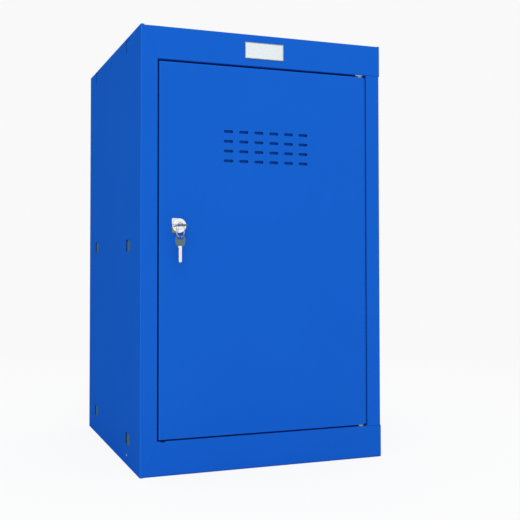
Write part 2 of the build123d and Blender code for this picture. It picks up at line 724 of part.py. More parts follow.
def lock_plug():
    """Turning plug with the keyway, wafer slots and a square tail for the cam."""
    plug = lock_bar(-HEAD_FRONT + PLUG_SUNK, BARREL_DEPTH + PLUG_SUNK, PLUG_RADIUS)
    tail_end = CAM_START + CAM_SHEET
    plug += on_axis(BARREL_DEPTH, tail_end, TAIL_WIDTH, TAIL_WIDTH)
    way_width = BLADE_WIDTH + 2 * KEYWAY_PLAY
    way_height = BLADE_THICKNESS + 1.5 * KEYWAY_PLAY
    plug -= on_axis(-HEAD_FRONT - OVERCUT, KEYWAY_DEPTH, way_width, way_height)
    for depth in WAFER_DEPTHS:
        half = WAFER_SHEET / 2 + RUNNING_CLEARANCE
        slot_height = WAFER_WIDTH + 2 * RUNNING_CLEARANCE
        plug -= on_axis(depth - half, depth + half, 2 * PLUG_RADIUS + OVERCUT, slot_height)
    screw_start = CAM_START + CAM_SHEET + CAM_WASHER_SHEET - SCREW_LENGTH
    return plug - lock_bar(screw_start, tail_end + OVERCUT, SCREW_RADIUS)


def lock_wafers():
    """Five windowed wafers that the blade passes through."""
    wafers = []
    window_width = BLADE_WIDTH + 2.5 * KEYWAY_PLAY
    window_height = BLADE_THICKNESS + 2 * KEYWAY_PLAY
    half = WAFER_SHEET / 2
    for depth in WAFER_DEPTHS:
        wafer = on_axis(depth - half, depth + half, WAFER_LENGTH, WAFER_WIDTH)
        wafers.append(wafer - on_axis(depth - 1, depth + 1, window_width, window_height))
    return wafers


def lock_cam():
    """Flat cam, pointing up when unlocked, that turns behind the stop flange."""
    hub = Circle(CAM_HUB_RADIUS)
    arm = Pos(0, CAM_REACH / 2) * Rectangle(CAM_WIDTH, CAM_REACH)
    outline = fillet((hub + arm).vertices().group_by(Axis.Y)[-1], CAM_CORNER)
    hole_width = TAIL_WIDTH + 2 * RUNNING_CLEARANCE
    outline -= Rectangle(hole_width, hole_width)
    face = Plane.XZ.offset(-FRONT - CAM_START) * Pos(LOCK_X, LOCK_Z) * outline
    return extrude(face, amount=-CAM_SHEET)


def cam_washer():
    """Plain washer between the cam and its screw."""
    depth0 = CAM_START + CAM_SHEET
    depth1 = depth0 + CAM_WASHER_SHEET
    hole = lock_bar(depth0 - OVERCUT, depth1 + OVERCUT, SCREW_RADIUS)
    return lock_bar(depth0, depth1, CAM_WASHER_RADIUS) - hole


def cam_screw():
    """Pan-head screw in the plug's tail with a cross recess."""
    head_foot = CAM_START + CAM_SHEET + CAM_WASHER_SHEET
    head_top = head_foot + SCREW_HEAD_HEIGHT
    head = lock_bar(head_foot, head_top, SCREW_HEAD_RADIUS)
    head = fillet(head.edges().group_by(Axis.Y)[-1], SCREW_HEAD_HEIGHT * 0.4)
    screw = head + lock_bar(head_foot - SCREW_LENGTH, head_foot, SCREW_RADIUS)
    recess_foot = head_foot + SCREW_HEAD_HEIGHT * 0.4
    screw -= on_axis(recess_foot, head_top + OVERCUT, RECESS_LENGTH, RECESS_WIDTH)
    return screw - on_axis(recess_foot, head_top + OVERCUT, RECESS_WIDTH, RECESS_LENGTH)


# Keys and ring
def bow_outline():
    """The moulded bow's outline, blade end at zero."""
    low, high = BOW_SHOULDERS
    right_side = [(BOW_NECK / 2, 0), (BOW_WIDTH / 2, low), (BOW_WIDTH / 2, high), (BOW_TOP / 2, BOW_LENGTH)]
    left_side = [(-x, y) for x, y in reversed(right_side)]
    outline = make_face(Polyline(*right_side, *left_side, close=True))
    return fillet(outline.vertices(), BOW_CORNER)


def key_bow():
    """Moulded bow with a slotted eye, a sunk panel on each face and the tang's pocket."""
    outline = bow_outline()
    bow = extrude(Plane.XZ * outline, amount=BOW_THICKNESS / 2, both=True)
    eye = Pos(0, BOW_HOLE_AT) * SlotOverall(BOW_HOLE_LENGTH, BOW_HOLE_HEIGHT)
    bow -= extrude(Plane.XZ * eye, amount=BOW_THICKNESS, both=True)
    panel = Pos(0, BOW_PANEL_AT) * RectangleRounded(*BOW_PANEL, BOW_PANEL_CORNER)
    for side in (-1, 1):
        face = Plane.XZ.offset(side * (BOW_THICKNESS / 2 - BOW_PANEL_SUNK)) * panel
        bow -= extrude(face, amount=side * OVERCUT)
    return bow - key_tang()


def key_tang():
    """The hidden end of the blade inside the bow."""
    half = TANG_THICKNESS / 2
    return block(-BLADE_WIDTH / 2, BLADE_WIDTH / 2, -half, half, 0, TANG_LENGTH)


def key_blade():
    """Blade with a shoulder, a rounded tip, a flute on each face and shallow wafer cuts."""
    outline = Pos(0, -BLADE_LENGTH / 2) * Rectangle(BLADE_WIDTH, BLADE_LENGTH)
    outline = fillet(outline.vertices().group_by(Axis.Y)[0], BLADE_TIP_RADIUS)
    outline += Pos(0, -SHOULDER_LENGTH / 2) * Rectangle(SHOULDER_WIDTH, SHOULDER_LENGTH)
    blade = extrude(Plane.XZ * outline, amount=BLADE_THICKNESS / 2, both=True)
    half_flute = FLUTE_WIDTH / 2
    for side in (-1, 1):
        y0, y1 = sorted((side * (BLADE_THICKNESS / 2 - FLUTE_SUNK), side * BLADE_THICKNESS))
        blade -= block(-half_flute, half_flute, y0, y1, -BLADE_LENGTH - OVERCUT, -FLUTE_START)
    for count, depth in enumerate(WAFER_DEPTHS):
        z = -(BOW_STANDOFF + depth)
        side = 1 if count % 2 else -1
        x0, x1 = sorted((side * (BLADE_WIDTH / 2 - CUT_SUNK), side * BLADE_WIDTH))
        blade -= block(x0, x1, -BLADE_THICKNESS, BLADE_THICKNESS, z - CUT_WIDTH / 2, z + CUT_WIDTH / 2)
    return blade + key_tang()


def in_lock(shape):
    """Place a key in the lock, bow level."""
    return Pos(LOCK_X, FRONT - BOW_STANDOFF, LOCK_Z) * Rot(90, 0, 0) * shape


def ring_centre():
    """Centre of the key ring, hanging through the eye of the key in the lock."""
    eye_y = FRONT - BOW_STANDOFF - BOW_HOLE_AT
    turn = radians(RING_TURN)
    return Vector(LOCK_X - RING_OFFSET * cos(turn), eye_y - RING_OFFSET * sin(turn), LOCK_Z - RING_DROP)


def key_ring():
    """Plain wire ring."""
    centre = ring_centre()
    torus = Rot(90, 0, 0) * Torus(RING_RADIUS, RING_WIRE)
    return Pos(centre.X, centre.Y, centre.Z) * Rot(0, 0, RING_TURN) * torus


def on_ring(shape):
    """Hang a key from the foot of the ring, bow up."""
    centre = ring_centre()
    eye_z = centre.Z - RING_RADIUS - (BOW_HOLE_HEIGHT / 2 - RING_WIRE - SPARE_PLAY)
    return Pos(centre.X, centre.Y, eye_z - BOW_HOLE_AT) * Rot(0, 0, SPARE_TURN) * shape


# Badge
def badge_sheet(width, height, proud):
    """A thin plate on the top rail, standing proud of its face."""
    half = width / 2
    low = BADGE_Z - height / 2
    return block(BADGE_X - half, BADGE_X + half, FRONT - proud, FRONT, low, low + height)


def badge_frame():
    """Raised border of the badge."""
    outer = badge_sheet(BADGE_WIDTH, BADGE_HEIGHT, BADGE_PROUD)
    outer = fillet(outer.edges().filter_by(Axis.Y), BADGE_CORNER)
    return outer - badge_sheet(PLATE_WIDTH, PLATE_HEIGHT, BADGE_PROUD + OVERCUT)


def badge_plate():
    """Blank insert inside the border."""
    return badge_sheet(PLATE_WIDTH, PLATE_HEIGHT, BADGE_PROUD - PLATE_SUNK)


def save_brackets():
    """One node for each bracket, named by tray, side and place."""
    sides = {"left": (LEFT, 1), "right": (WALL_RIGHT, -1)}
    places = dict(zip(("front", "rear"), SLOT_DEPTHS))
    for level, slot_z in SLOT_HEIGHTS.items():
        for side, (wall_x, inward) in sides.items():
            for place, depth in places.items():
                save(f"{level}_bracket_{place}_{side}", bracket(wall_x, inward, depth, slot_z))


def main():
    os.makedirs("parts", exist_ok=True)
    save("left_side_panel", left_side_panel())
    save("right_side_panel", right_side_panel())
    save("top_panel", top_panel())
    save("bottom_rail", bottom_rail())
    save("bottom_panel", bottom_panel())
    save("back_panel", back_panel())
    save("shelf", tray(SLOT_HEIGHTS["shelf"] + SLOT_TO_TRAY, SHELF_FRONT))
    save("floor_panel", tray(SLOT_HEIGHTS["floor"] + SLOT_TO_TRAY, FLOOR_FRONT))
    save_brackets()
    save("base_rivets", Compound(base_rivets()))
    save("hinge_plate_upper", hinge_plate_upper())
    save("hinge_plate_lower", hinge_plate_lower())
    save("hinge_pin_upper", hinge_pin_upper())
    save("hinge_pin_lower", hinge_pin_lower())
    plate_foot = OPEN_TOP - HINGE_PLATE
    save("hinge_washer_upper", hinge_washer(DOOR_TOP + WASHER_PLAY, plate_foot, WASHER_RADIUS_UPPER))
    save("hinge_washer_lower", hinge_washer(OPEN_BOTTOM, DOOR_BOTTOM - WASHER_PLAY, WASHER_RADIUS_LOWER))
    save("door_buffers", Compound(door_buffers()))
    save("badge_frame", badge_frame())
    save("badge_plate", badge_plate())
    save("door_panel", door_panel())
    save("door_stiffener", door_stiffener())
    save("vent_shield", vent_shield())
    save("door_edge_strip", door_edge_strip())
    save("pivot_block_upper", pivot_block(DOOR_TOP - SHEET - PIVOT_BLOCK_HEIGHT))
    save("pivot_block_lower", pivot_block(DOOR_BOTTOM + SHEET))
    save("lock_escutcheon", lock_escutcheon())
    save("lock_housing", lock_housing())
    save("lock_nut", lock_nut())
    save("lock_plug", lock_plug())
    save("lock_wafers", Compound(lock_wafers()))
    save("lock_cam", lock_cam())
    save("cam_washer", cam_washer())
    save("cam_screw", cam_screw())
    save("key_bow", in_lock(key_bow()))
    save("key_blade", in_lock(key_blade()))
    save("key_ring", key_ring())
    save("spare_key_bow", on_ring(key_bow()))
    save("spare_key_blade", on_ring(key_blade()))


main()
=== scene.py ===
from math import atan2, cos, pi, radians, sin, tan

import bmesh
import bpy
from mathutils import Matrix, Vector


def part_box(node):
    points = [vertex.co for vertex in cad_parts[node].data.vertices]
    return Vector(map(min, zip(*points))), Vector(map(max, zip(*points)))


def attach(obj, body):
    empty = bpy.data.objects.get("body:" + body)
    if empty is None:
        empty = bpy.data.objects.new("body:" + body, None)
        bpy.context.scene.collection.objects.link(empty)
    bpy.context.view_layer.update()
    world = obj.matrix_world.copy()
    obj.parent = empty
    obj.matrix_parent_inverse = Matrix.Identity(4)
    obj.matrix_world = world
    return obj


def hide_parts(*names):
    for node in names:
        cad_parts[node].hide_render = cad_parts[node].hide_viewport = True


# The looks of a blue powder-coated cube locker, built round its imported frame. The frame is in
# metres, X to the right as seen from the front, Y to the back, Z up. Pieces are cut, turned and
# folded in millimetres and scaled down when they are put in.

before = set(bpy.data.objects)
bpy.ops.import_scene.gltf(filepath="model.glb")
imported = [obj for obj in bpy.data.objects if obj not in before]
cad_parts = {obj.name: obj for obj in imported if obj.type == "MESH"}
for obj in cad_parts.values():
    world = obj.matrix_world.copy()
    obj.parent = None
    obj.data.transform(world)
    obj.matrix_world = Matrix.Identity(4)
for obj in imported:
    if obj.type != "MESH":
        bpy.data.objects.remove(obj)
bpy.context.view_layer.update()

MM = 0.001

# The camera, solved from the corners of the body in the photograph
IMAGE_SIDE = 520
FOCAL_PIXELS = 828.67
AXIS_PIXEL = (225.51, 235.45)
CAMERA_PLACE = (-0.4916, -1.3889, 0.3223)
CAMERA_YAW = -19.673
CAMERA_PITCH = 1.511
SENSOR_WIDTH = 36.0

# Studio
BACKGROUND = 0.947
ROOM_LIGHT = 0.775
FLOOR_REACH = 30.0
FLOOR_SHADE = 0.12
FLOOR_GLOW = 0.045
LAMP_PLACE = (-0.62, -2.5, 2.25)
LAMP_TARGET = (0, -0.2, 0.35)
LAMP_SIZE = 2.0
LAMP_POWER = 36.5

# Body
FRONT = -202.5
WALLS = (-200.0, 199.0)
RIVET_Z = 15.0
RIVET_RADIUS = 2.0
BACK = 202.5
WELD_LINE = 192.5
WELD_PITCH = 60.0
SLOT_MIDDLE = 190.5
SLOT_SPREAD = 150.0
SLIT_DEPTHS = (95.0, 346.3)
SLIT_SPAN = (645.8, 663.5)

# Brackets, hinges and buffers
BRACKET_SHEET = 1.6
BRACKET_LEDGE = 18.0
BOSS_SIDE = 17.0
BOSS_AT = (20.75, 14.0)
HINGE_X = 165.7
HINGE_Y = FRONT + 6.5
PIN_RADIUS = 2.5
PIN_HEAD_RADIUS = 4.2
BLOCK_BORE_RADIUS = 2.55
BUFFER_HEIGHTS = (130.0, 300.0, 540.0)
BUFFER_RADIUS = 4.0

# Lock, its nut and its cam
LOCK_X = -141.4
LOCK_Z = 369.6
HEAD_RADIUS = 10.9
HEAD_FRONT = 3.4
PLATE_SHEET = 1.0
BARREL_RADIUS = 9.2
BARREL_REAR = -22.3
THREAD_DEPTH = 0.55
THREAD_PITCH = 1.25
BORE_RADIUS = 6.05
PLUG_RADIUS = 6.0
PLUG_FRONT = 3.2
PLUG_REAR = -22.5
KEYWAY_REAR = -16.0
CAM_FRONT = -22.7
CAM_REAR = -25.2
HUB_RADIUS = 8.5
ARM_HALF = 6.5
ARM_REACH = 26.5
WASHER_REAR = -26.2
SCREW_REAR = -28.6
SCREW_RADIUS = 2.0
NUT_FLAT = 12.0
NUT_REAR = -6.0
NUT_FRONT = -1.0
TAIL_WIDTH = 7.0
DIMPLE_OFFSET = 8.5
DIMPLE_RADIUS = 0.85
DIMPLE_DEPTH = 0.7

# Keys and ring
KEY_STANDOFF = 10.5
BOW_CORNERS = ((5.0, 0.0), (7.25, 5.5), (7.25, 11.6), (5.2, 15.2))
BOW_CORNER_RADIUS = 1.8
BOW_HALF = 1.35
FIELD_HALF = 1.05
RIM_WIDTH = 1.25
EYE_AT = 11.5
EYE_LENGTH = 8.8
EYE_HEIGHT = 4.0
BLADE_HALF_WIDTH = 2.2
BLADE_HALF = 1.0
SHOULDER_HALF_WIDTH = 3.0
NOTCH_HALF_WIDTH = 1.9
NOTCHES = (-12.5, -15.1, -17.7, -20.3)
FLUTE_DEPTH = 0.45
RING_PLACE = (-146.79, -228.90, 361.97)
RING_TURN = 39.2
RING_RADIUS = 10.6
RING_TURNS = 1.96
RING_STEPS = 180
RING_APART = 0.54
SPARE_PLACE = (-146.79, -228.90, 338.82)
SPARE_TURN = -16.5


# Places
def lock_place():
    """Local Z out of the lock's face, local Y up."""
    return Matrix.Translation((LOCK_X, FRONT, LOCK_Z)) @ Matrix.Rotation(radians(90), 4, "X")


def lock_key_place():
    """The key in the lock: local Y along the key towards its bow, local Z through its thickness."""
    at_bow = Matrix.Translation((LOCK_X, FRONT - KEY_STANDOFF, LOCK_Z))
    return at_bow @ Matrix.Rotation(radians(180), 4, "X")


def spare_key_place():
    """The spare key, hanging bow up from the ring."""
    turn = Matrix.Rotation(radians(SPARE_TURN), 4, "Z") @ Matrix.Rotation(radians(90), 4, "X")
    return Matrix.Translation(SPARE_PLACE) @ turn


def ring_place():
    """The ring, its axis along local Z."""
    turn = Matrix.Rotation(radians(RING_TURN), 4, "Z") @ Matrix.Rotation(radians(90), 4, "X")
    return Matrix.Translation(RING_PLACE) @ turn


def extent(node):
    """A node's corners in millimetres."""
    low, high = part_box(node)
    return low / MM, high / MM


# Outlines
def circle(radius, centre=(0.0, 0.0), sides=64):
    """Points round a circle."""
    turns = [2 * pi * i / sides for i in range(sides)]
    return [(centre[0] + radius * cos(a), centre[1] + radius * sin(a)) for a in turns]


def rounded(corners, radius, steps=5):
    """A polygon's outline with its corners rounded to one radius, or to a third value of their own."""
    points = []
    count = len(corners)
    for i, corner in enumerate(corners):
        here = Vector(corner[:2])
        bend = corner[2] if len(corner) > 2 else radius
        back = (Vector(corners[i - 1][:2]) - here).normalized()
        ahead = (Vector(corners[(i + 1) % count][:2]) - here).normalized()
        if bend == 0:
            points.append(tuple(here))
            continue
        half = back.angle(ahead) / 2
        centre = here + (back + ahead).normalized() * bend / sin(half)
        start = here + back * bend / tan(half) - centre
        end = here + ahead * bend / tan(half) - centre
        first = atan2(start.y, start.x)
        sweep = atan2(start.x * end.y - start.y * end.x, start.dot(end))
        for k in range(steps + 1):
            turn = first + sweep * k / steps
            points.append((centre.x + bend * cos(turn), centre.y + bend * sin(turn)))
    return points


def rectangle(width, height, radius, centre=(0.0, 0.0)):
    """A rectangle with rounded corners."""
    x, y = centre
    w = width / 2
    h = height / 2
    return rounded([(x - w, y - h), (x + w, y - h), (x + w, y + h), (x - w, y + h)], radius)


def inset(corners, distance):
    """The corners of a convex polygon, wound anticlockwise, moved in from every side."""
    moved = []
    count = len(corners)
    for i in range(count):
        before, here, after = (Vector(corners[j % count]) for j in (i - 1, i, i + 1))
        first = (here - before).normalized()
        second = (after - here).normalized()
        inward = Vector((-first.y, first.x)) + Vector((-second.y, second.x))
        moved.append(tuple(here + inward * distance / (1 + first.dot(second))))
    return moved


class Shape:
    """A mesh under construction, in millimetres."""

    def __init__(self):
        self.mesh = bmesh.new()

    def skin(self, rows, place, loop=False):
        """Join closed rows of points. The ends are capped, or the last row joins the first."""
        rings = [[self.mesh.verts.new(place @ Vector(point)) for point in row] for row in rows]
        pairs = list(zip(rings, rings[1:]))
        if loop:
            pairs.append((rings[-1], rings[0]))
        else:
            self.mesh.faces.new(rings[0])
            self.mesh.faces.new(rings[-1])
        for low, high in pairs:
            for i in range(len(low)):
                j = (i + 1) % len(low)
                self.mesh.faces.new((low[i], low[j], high[j], high[i]))

    def turned(self, profile, place, bored=False, sides=64):
        """Spin points of radius and height round local Z, a bored profile back to its start."""
        rows = [[(x, y, height) for x, y in circle(radius, sides=sides)] for radius, height in profile]
        self.skin(rows, place, bored)

    def flat(self, outlines, low, high, ease, place):
        """Cut a flat part between two heights to its outlines, with eased edges."""
        curve = bpy.data.curves.new("outline", "CURVE")
        curve.dimensions = "2D"
        curve.fill_mode = "BOTH"
        curve.extrude = (high - low) / 2 - ease
        curve.bevel_depth = ease
        curve.bevel_resolution = 2
        curve.offset = -ease
        for points in outlines:
            spline = curve.splines.new("POLY")
            spline.points.add(len(points) - 1)
            for point, (x, y) in zip(spline.points, points):
                point.co = (x, y, 0, 1)
            spline.use_cyclic_u = True
        holder = bpy.data.objects.new("outline", curve)
        cut = bpy.data.meshes.new_from_object(holder)
        cut.transform(place @ Matrix.Translation((0, 0, (low + high) / 2)))
        before = len(self.mesh.verts)
        self.mesh.from_mesh(cut)
        self.mesh.verts.ensure_lookup_table()
        bmesh.ops.remove_doubles(self.mesh, verts=self.mesh.verts[before:], dist=0.002)
        bpy.data.objects.remove(holder)
        bpy.data.curves.remove(curve)
        bpy.data.meshes.remove(cut)

    def put_in(self, name, body, slot, finish, *nodes):
        """Finish the shape as a piece that rides on a body and stands for CAD nodes."""
        bmesh.ops.recalc_face_normals(self.mesh, faces=self.mesh.faces)
        mesh = bpy.data.meshes.new(name)
        self.mesh.to_mesh(mesh)
        self.mesh.free()
        mesh.transform(Matrix.Scale(MM, 4))
        mesh.polygons.foreach_set("use_smooth", [True] * len(mesh.polygons))
        mesh.set_sharp_from_angle(angle=radians(32))
        mesh.materials.append(finish)
        piece = bpy.data.objects.new(name, mesh)
        bpy.context.scene.collection.objects.link(piece)
        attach(piece, body)
        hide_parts(*nodes)


# Shader maths
class Wire:
    """One value in a node tree. Sums and products of wires add the nodes that work them out."""

    def __init__(self, tree, socket):
        self.tree = tree
        self.socket = socket

    def math(self, operation, *values):
        return self.tree.node("ShaderNodeMath", {"operation": operation}, dict(enumerate(values)))

    def __add__(self, other):
        return self.math("ADD", self, other)

    def __sub__(self, other):
        return self.math("SUBTRACT", self, other)

    def __rsub__(self, other):
        return self.math("SUBTRACT", other, self)

    def __mul__(self, other):
        return self.math("MULTIPLY", self, other)

    def __mod__(self, other):
        return self.math("FLOORED_MODULO", self, other)

    def __pow__(self, other):
        return self.math("POWER", self, other)

    def __abs__(self):
        return self.math("ABSOLUTE", self)

    def least(self, other):
        return self.math("MINIMUM", self, other)

    def most(self, other):
        return self.math("MAXIMUM", self, other)

    __radd__ = __add__
    __rmul__ = __mul__


class Tree:
    """A node tree under construction."""

    def __init__(self, nodes):
        self.nodes = nodes

    def node(self, kind, settings, inputs, output=0):
        """Add one node: its settings first, then the values or links of its sockets."""
        made = self.nodes.nodes.new(kind)
        for name, value in settings.items():
            setattr(made, name, value)
        for name, value in inputs.items():
            if isinstance(value, Wire):
                self.nodes.links.new(value.socket, made.inputs[name])
            else:
                made.inputs[name].default_value = value
        return Wire(self, made.outputs[output])


def colour(red, green, blue):
    """A colour as the eye reads it, 0 to 255 a channel, as the shader's linear RGBA."""
    channels = [value / 255 for value in (red, green, blue)]
    return tuple(((c + 0.055) / 1.055) ** 2.4 if c > 0.04045 else c / 12.92 for c in channels) + (1.0,)


class Finish(Tree):
    """A material with one Principled shader."""

    def __init__(self, name, **constants):
        self.material = bpy.data.materials.new(name)
        self.material.use_nodes = True
        super().__init__(self.material.node_tree)
        self.shader = self.nodes.nodes["Principled BSDF"]
        self.place = self.node("ShaderNodeTexCoord", {}, {}, "Object")
        for socket, value in constants.items():
            self.shader.inputs[socket.replace("_", " ")].default_value = value

    def feed(self, socket, wire):
        """Link a wire to one of the shader's sockets."""
        self.nodes.links.new(wire.socket, self.shader.inputs[socket])

    def axes(self):
        """The place's X, Y and Z, in metres."""
        return [self.node("ShaderNodeSeparateXYZ", {}, {0: self.place}, axis) for axis in "XYZ"]

    def noise(self, size, detail=2.0, stretch=(1, 1, 1)):
        """Smooth noise from 0 to 1 with features of about that size in metres."""
        scale = [1 / (size * s) for s in stretch]
        place = self.node("ShaderNodeVectorMath", {"operation": "MULTIPLY"}, {0: self.place, 1: scale})
        return self.node("ShaderNodeTexNoise", {}, {"Vector": place, "Scale": 1.0, "Detail": detail})

    def along(self, origin, direction):
        """Distance from a plane through a point, in metres."""
        offset = self.node("ShaderNodeVectorMath", {"operation": "SUBTRACT"}, {0: self.place, 1: origin})
        inputs = {0: offset, 1: direction}
        return self.node("ShaderNodeVectorMath", {"operation": "DOT_PRODUCT"}, inputs, "Value")

    def between(self, value, start, end):
        """Nought up to the start, one from the end on, and eased in between."""
        settings = {"interpolation_type": "SMOOTHSTEP"}
        return self.node("ShaderNodeMapRange", settings, {0: value, 1: start, 2: end})

    def blend(self, mask, first, second):
        """A colour between two, by a mask."""
        return self.node("ShaderNodeMix", {"data_type": "RGBA"}, {0: mask, 6: first, 7: second}, 2)

    def edge_distance(self, low, high):
        """How far a point on a box's surface is from the nearest edge of that box."""
        a, b, c = [(axis - start).least(end - axis) for axis, start, end in zip(self.axes(), low, high)]
        return a.least(b).most(a.most(b).least(c))

    def relief(self, height, depth):
        """Raise the surface by a height of 0 to 1, that many metres deep."""
        bump = self.node("ShaderNodeBump", {}, {"Strength": 1.0, "Distance": depth, "Height": height})
        self.feed("Normal", bump)


# Finishes
def blue_paint(name, low, high):
    """Satin powder coat of a folded box: orange peel, clouding, thin film and a painted highlight on the
    folds, faint dust, and painted shade beside the slits.
    """
    paint = Finish(name, Specular_IOR_Level=0.0, Coat_Weight=0.008, Coat_Roughness=0.3)
    across, back, up = paint.axes()
    clouds = paint.noise(0.13, 3.0)
    grain = paint.noise(0.0022, 2.0)
    on_fold = 1 - paint.between(paint.edge_distance(low, high), 0.4 * MM, 1.4 * MM)
    on_wall = paint.between(abs(across), (WALLS[1] - 0.6) * MM, (WALLS[1] - 0.2) * MM)
    base = paint.blend(clouds, colour(19, 89, 192), colour(22, 93, 197))
    base = paint.blend(grain * 0.12, base, colour(30, 106, 214))
    # Lighter colour on the folds: partly a thinner paint film, partly a painted highlight along the edges.
    base = paint.blend(on_fold * 0.4, base, colour(44, 124, 222))
    normal = paint.node("ShaderNodeNewGeometry", {}, {}, "Normal")
    facing_up = paint.node("ShaderNodeSeparateXYZ", {}, {0: normal}, "Z")
    dust = paint.between(facing_up, 0.7, 1.0) * paint.between(paint.noise(0.02, 4.0), 0.4, 0.8)
    base = paint.blend(dust * 0.02, base, colour(186, 190, 196))
    # Painted shade: a dark blue band beside the rear edge of each slit, from the slits' foot upwards, on the
    # side walls.
    slit_height = paint.between(up, (SLIT_SPAN[0] - 1) * MM, (SLIT_SPAN[0] + 1) * MM)
    for depth in SLIT_DEPTHS:
        from_slit = abs(back - (FRONT + depth - 0.3) * MM)
        slit_shade = (1 - paint.between(from_slit, 1.0 * MM, 2.6 * MM)) * slit_height
        base = paint.blend(slit_shade * on_wall * 0.75, base, colour(4, 30, 84))
    paint.feed("Base Color", base)
    paint.feed("Roughness", 0.4 + 0.1 * clouds + 0.1 * dust)
    weld_up = abs(up % (WELD_PITCH * MM) - WELD_PITCH * MM / 2)
    weld_across = abs(abs(across) - WELD_LINE * MM)
    flat = paint.between((weld_across ** 2 + weld_up ** 2) ** 0.5, 1.7 * MM, 2.6 * MM)
    at_back = paint.between(back, (BACK - 1.5) * MM, (BACK - 0.5) * MM)
    peel = paint.noise(0.0014, 2.0)
    paint.relief(peel * 0.09 + 1 - (1 - flat) * at_back, 0.14 * MM)
    return paint.material


def plated(name, tone, patch, roughness, grain, stretch=(1, 1, 3), wear=0.008):
    """Plated metal: patches of a second tone and a fine drawn grain."""
    plate = Finish(name, Metallic=1.0)
    patches = plate.between(plate.noise(9 * grain, 3.0), 0.38, 0.66)
    drawn = plate.noise(grain, 3.0, stretch=stretch)
    plate.feed("Base Color", plate.blend(patches * (0.7 + 0.3 * drawn), tone, patch))
    plate.feed("Roughness", roughness + 0.16 * drawn)
    plate.relief(drawn, wear * MM)
    return plate.material


def escutcheon_zinc():
    """Bright zinc, scuffed in its upper part, with painted khaki shade from the head on its lower corner."""
    plate = Finish("escutcheon_zinc", Metallic=1.0)
    up = plate.axes()[2]
    drift = plate.noise(0.005, 3.0)
    # Painted shade: below the head's middle the plate is khaki and darker, standing in for the head's
    # shadow.
    out_of_shade = plate.between(up + 3 * MM * drift, (LOCK_Z - 3.0) * MM, (LOCK_Z + 2.5) * MM)
    head_shade = plate.blend(plate.noise(0.002, 3.0), colour(118, 126, 92), colour(156, 160, 122))
    scuff = plate.between(plate.noise(0.0014, 3.0, stretch=(1, 1, 3)), 0.56, 0.7)
    bright = plate.blend(scuff * 0.35, colour(250, 250, 248), colour(166, 172, 172))
    plate.feed("Base Color", plate.blend(out_of_shade, head_shade, bright))
    plate.feed("Roughness", 0.16 + 0.2 * drift)
    return plate.material


def bracket_zinc():
    """Zinc dulled to a dark blue-grey that is partly painted shade from inside the slots, with a little
    residue along the edges of the slots.
    """
    plate = Finish("bracket_zinc", Specular_IOR_Level=0.0)
    up = plate.axes()[2]
    from_slot = abs(abs(up - SLOT_MIDDLE * MM) - SLOT_SPREAD * MM)
    drawn = plate.noise(0.0007, 3.0, stretch=(1, 1, 3))
    # The dark blue-grey tones are dulled zinc and partly painted shade of the slot's inside.
    dulled_and_shaded = plate.blend(plate.noise(0.006, 3.0), colour(64, 100, 128), colour(82, 110, 120))
    residue = plate.between(from_slot + 0.8 * MM * drawn, 7.4 * MM, 8.6 * MM)
    plate.feed("Base Color", plate.blend(residue * 0.5, dulled_and_shaded, colour(112, 118, 94)))
    plate.feed("Roughness", 0.5 + 0.16 * drawn)
    plate.relief(drawn, 0.008 * MM)
    return plate.material


def bow_plastic(name, place):
    """Grey moulding of a key's bow, with the raised rim worn to khaki."""
    bow = Finish(name, Specular_IOR_Level=0.25)
    direction = place.to_3x3() @ Vector((0, 0, 1))
    height = abs(bow.along(place.translation * MM, direction))
    rim = bow.between(height, (FIELD_HALF + 0.12) * MM, (BOW_HALF - 0.06) * MM)
    mottle = bow.noise(0.0009, 3.0)
    field = bow.blend(mottle, colour(78, 100, 112), colour(96, 116, 126))
    worn = bow.blend(mottle, colour(86, 100, 96), colour(112, 120, 102))
    bow.feed("Base Color", bow.blend(rim, field, worn))
    bow.feed("Roughness", 0.45 + 0.15 * mottle)
    bow.relief(bow.noise(0.0003, 2.0), 0.012 * MM)
    return bow.material


def moulding(name, tone, bloom, roughness, grain):
    """Rubber or plastic: a matt skin with a slight bloom and a moulded grain."""
    skin = Finish(name, Specular_IOR_Level=0.3)
    mottle = skin.noise(grain, 3.0)
    skin.feed("Base Color", skin.blend(skin.between(mottle, 0.4, 0.75), tone, bloom))
    skin.feed("Roughness", roughness + 0.12 * mottle)
    skin.relief(mottle, 0.006 * MM)
    return skin.material


body_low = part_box("left_side_panel")[0]
body_high = Vector((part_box("bottom_rail")[1].x, *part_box("left_side_panel")[1].yz))
cabinet_blue = blue_paint("cabinet_blue", body_low, body_high)
door_blue = blue_paint("door_blue", *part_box("door_panel"))
zinc = plated("bright_zinc", colour(196, 200, 200), colour(158, 160, 148), 0.26, 0.0006)
dull_shaded_zinc = bracket_zinc()
steel = plated("bright_steel", colour(206, 208, 209), colour(172, 176, 178), 0.18, 0.0004)
brass = plated("turned_brass", colour(186, 172, 132), colour(146, 138, 104), 0.28, 0.0005)
chrome = plated(
    "bright_chrome", colour(251, 252, 252), colour(240, 243, 244), 0.03, 0.0005, (1, 1, 1), 0.002
)
nickel = plated("nickel_blade", colour(248, 249, 248), colour(236, 239, 239), 0.12, 0.0004, (1, 1, 8))
rivet_zinc = plated("rivet_zinc", colour(196, 206, 222), colour(150, 166, 190), 0.35, 0.0004)
rubber = moulding("buffer_rubber", colour(26, 26, 28), colour(44, 44, 46), 0.62, 0.0008)
insert_white = moulding("insert_white", colour(219, 226, 229), colour(214, 221, 224), 0.4, 0.003)
border_silver = plated("border_silver", colour(188, 190, 178), colour(160, 160, 140), 0.3, 0.0004, (8, 1, 1))

# CAD nodes that stay as they are
for name in ("left_side_panel", "right_side_panel", "top_panel", "bottom_rail", "bottom_panel", "back_panel",
             "shelf", "floor_panel", "door_stiffener", "vent_shield", "door_edge_strip"):
    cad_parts[name].data.materials.clear()
    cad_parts[name].data.materials.append(cabinet_blue)
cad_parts["door_panel"].data.materials.clear()
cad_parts["door_panel"].data.materials.append(door_blue)
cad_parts["lock_wafers"].data.materials.clear()
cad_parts["lock_wafers"].data.materials.append(brass)


